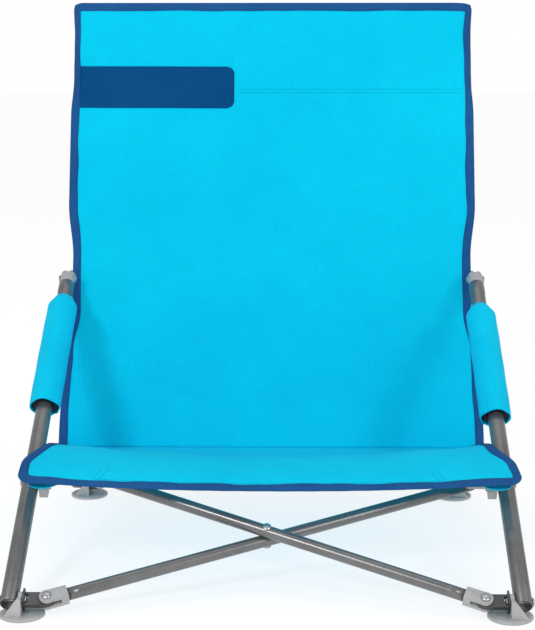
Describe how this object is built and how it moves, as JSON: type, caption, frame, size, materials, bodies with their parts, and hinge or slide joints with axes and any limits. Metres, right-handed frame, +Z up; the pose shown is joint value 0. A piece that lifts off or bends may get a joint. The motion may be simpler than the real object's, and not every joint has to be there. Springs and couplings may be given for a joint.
{
  "type": "folding camp chair",
  "caption": "Low folding sling chair with crossed tube frames, sliding hubs, sloping arm tubes with padded sleeves and a bound fabric sling.",
  "frame": {"origin": "on the ground under the middle of the chair's box", "axes": "+Z up, +Y towards the back, +X across"},
  "size_m": [0.566, 0.6154, 0.6463],
  "materials": {
    "tube": "satin grey powder coat",
    "plastic": "moulded satin plastic",
    "steel": "dark pressed steel",
    "rivet": "zinc plated",
    "sling": "plain woven polyester",
    "pad": "woven sleeve over foam",
    "binding": "woven edge tape",
    "patch": "printed panel",
    "foam": "closed cell foam"
  },
  "bodies": {
    "right_post": {"back_post_right": "tube", "post_cap_right": "plastic", "rear_foot_right": "plastic", "rear_clevis_right": "steel", "rear_foot_rivet_right": "rivet", "rear_lower_rivet_right": "rivet", "sling_back": "sling"},
    "left_post": {"back_post_left": "tube", "post_cap_left": "plastic", "rear_foot_left": "plastic", "rear_clevis_left": "steel", "rear_foot_rivet_left": "rivet", "rear_lower_rivet_left": "rivet"},
    "rear_tube_a": {"rear_cross_tube_a": "tube", "rear_tube_end_a": "plastic", "rear_centre_rivet": "rivet"},
    "rear_tube_b": {"rear_cross_tube_b": "tube", "rear_tube_end_b": "plastic"},
    "rear_hub_left": {"rear_hub_left": "plastic", "rear_upper_rivet_left": "rivet"},
    "rear_hub_right": {"rear_hub_right": "plastic", "rear_upper_rivet_right": "rivet"},
    "right_slider": {"post_slider_right": "plastic"},
    "left_slider": {"post_slider_left": "plastic"},
    "right_arm": {"arm_tube_right": "tube", "arm_cap_right": "plastic", "arm_pad_right": "pad", "front_clevis_right": "steel", "front_foot_rivet_right": "rivet", "arm_end_rivet_right": "rivet", "front_lower_rivet_right": "rivet"},
    "left_arm": {"arm_tube_left": "tube", "arm_cap_left": "plastic", "arm_pad_left": "pad", "front_clevis_left": "steel", "front_foot_rivet_left": "rivet", "arm_end_rivet_left": "rivet", "front_lower_rivet_left": "rivet"},
    "right_front_foot": {"front_foot_right": "plastic"},
    "left_front_foot": {"front_foot_left": "plastic"},
    "front_tube_a": {"front_cross_tube_a": "tube", "front_tube_end_a": "plastic", "front_centre_rivet": "rivet"},
    "front_tube_b": {"front_cross_tube_b": "tube", "front_tube_end_b": "plastic"},
    "seat_bracket_left": {"seat_bracket_left": "plastic", "front_upper_rivet_left": "rivet"},
    "seat_bracket_right": {"seat_bracket_right": "plastic", "front_upper_rivet_right": "rivet"},
    "seat_panel": {"sling_seat": "sling"}
  },
  "joints": [
    {"name": "fold", "type": "hinge", "parent": "right_post", "child": "rear_tube_a", "pos_m": [0.227, 0.16633, 0.017], "axis": [0, 0.9778, -0.2096], "range_deg": [0, 46.4], "deforming": ["sling_back", "sling_seat", "arm_pad_right", "arm_pad_left"]},
    {"name": "rear_cross_turn", "type": "hinge", "parent": "rear_tube_a", "child": "rear_tube_b", "pos_m": [0, 0.18516, 0.10488], "axis": [0, 0.9778, -0.2096], "range_deg": [-92.81, 0]},
    {"name": "left_post_turn", "type": "hinge", "parent": "rear_tube_b", "child": "left_post", "pos_m": [-0.227, 0.16633, 0.017], "axis": [0, 0.9778, -0.2096], "range_deg": [0, 46.41]},
    {"name": "rear_hub_left_turn", "type": "hinge", "parent": "rear_tube_a", "child": "rear_hub_left", "pos_m": [-0.227, 0.204, 0.19276], "axis": [0, 0.9778, -0.2096], "range_deg": [-46.41, 0]},
    {"name": "rear_hub_right_turn", "type": "hinge", "parent": "rear_tube_b", "child": "rear_hub_right", "pos_m": [0.227, 0.204, 0.19276], "axis": [0, 0.9778, -0.2096], "range_deg": [0, 46.41]},
    {"name": "right_slider_travel", "type": "slide", "parent": "right_post", "child": "right_slider", "axis": [0, 0.2096, 0.9778], "range_m": [0, 0.24938]},
    {"name": "right_arm_turn", "type": "hinge", "parent": "right_slider", "child": "right_arm", "pos_m": [0.266, 0.17833, 0.289], "axis": [1, 0, 0], "range_deg": [0, 43.52]},
    {"name": "right_front_foot_turn", "type": "hinge", "parent": "right_arm", "child": "right_front_foot", "pos_m": [0.266, -0.28367, 0.017], "axis": [1, 0, 0], "range_deg": [-43.52, 0]},
    {"name": "left_slider_travel", "type": "slide", "parent": "left_post", "child": "left_slider", "axis": [0, 0.2096, 0.9778], "range_m": [0, 0.24938]},
    {"name": "left_arm_turn", "type": "hinge", "parent": "left_slider", "child": "left_arm", "pos_m": [-0.266, 0.17833, 0.289], "axis": [1, 0, 0], "range_deg": [0, 43.52]},
    {"name": "left_front_foot_turn", "type": "hinge", "parent": "left_arm", "child": "left_front_foot", "pos_m": [-0.266, -0.28367, 0.017], "axis": [1, 0, 0], "range_deg": [-43.52, 0]},
    {"name": "front_cross_root_turn", "type": "hinge", "parent": "right_arm", "child": "front_tube_a", "pos_m": [0.227, -0.28367, 0.017], "axis": [0, 0.5073, -0.8617], "range_deg": [0, 46.41]},
    {"name": "front_cross_turn", "type": "hinge", "parent": "front_tube_a", "child": "front_tube_b", "pos_m": [0, -0.20622, 0.0626], "axis": [0, 0.5073, -0.8617], "range_deg": [-92.81, 0]},
    {"name": "seat_bracket_left_turn", "type": "hinge", "parent": "front_tube_a", "child": "seat_bracket_left", "pos_m": [-0.227, -0.12878, 0.1082], "axis": [0, 0.5073, -0.8617], "range_deg": [-46.41, 0]},
    {"name": "seat_bracket_right_turn", "type": "hinge", "parent": "front_tube_b", "child": "seat_bracket_right", "pos_m": [0.227, -0.12878, 0.1082], "axis": [0, 0.5073, -0.8617], "range_deg": [0, 46.41]},
    {"name": "seat_crease_turn", "type": "hinge", "parent": "right_post", "child": "seat_panel", "pos_m": [0, 0.14633, 0.0705], "axis": [1, 0, 0], "range_deg": [-91.01, 0]}
  ],
  "couplings": [
    {"joint": "rear_cross_turn", "follows": "fold", "ratio": -2},
    {"joint": "left_post_turn", "follows": "fold", "ratio": 1},
    {"joint": "rear_hub_left_turn", "follows": "fold", "ratio": -1},
    {"joint": "rear_hub_right_turn", "follows": "fold", "ratio": 1},
    {"joint": "right_slider_travel", "follows": "fold", "m_per_rad": 0.30733},
    {"joint": "right_arm_turn", "follows": "fold", "ratio": 0.93778},
    {"joint": "right_front_foot_turn", "follows": "fold", "ratio": -0.93778},
    {"joint": "left_slider_travel", "follows": "fold", "m_per_rad": 0.30733},
    {"joint": "left_arm_turn", "follows": "fold", "ratio": 0.93778},
    {"joint": "left_front_foot_turn", "follows": "fold", "ratio": -0.93778},
    {"joint": "front_cross_root_turn", "follows": "fold", "ratio": 1},
    {"joint": "front_cross_turn", "follows": "fold", "ratio": -2},
    {"joint": "seat_bracket_left_turn", "follows": "fold", "ratio": -1},
    {"joint": "seat_bracket_right_turn", "follows": "fold", "ratio": 1},
    {"joint": "seat_crease_turn", "follows": "fold", "ratio": -1.9612}
  ]
}
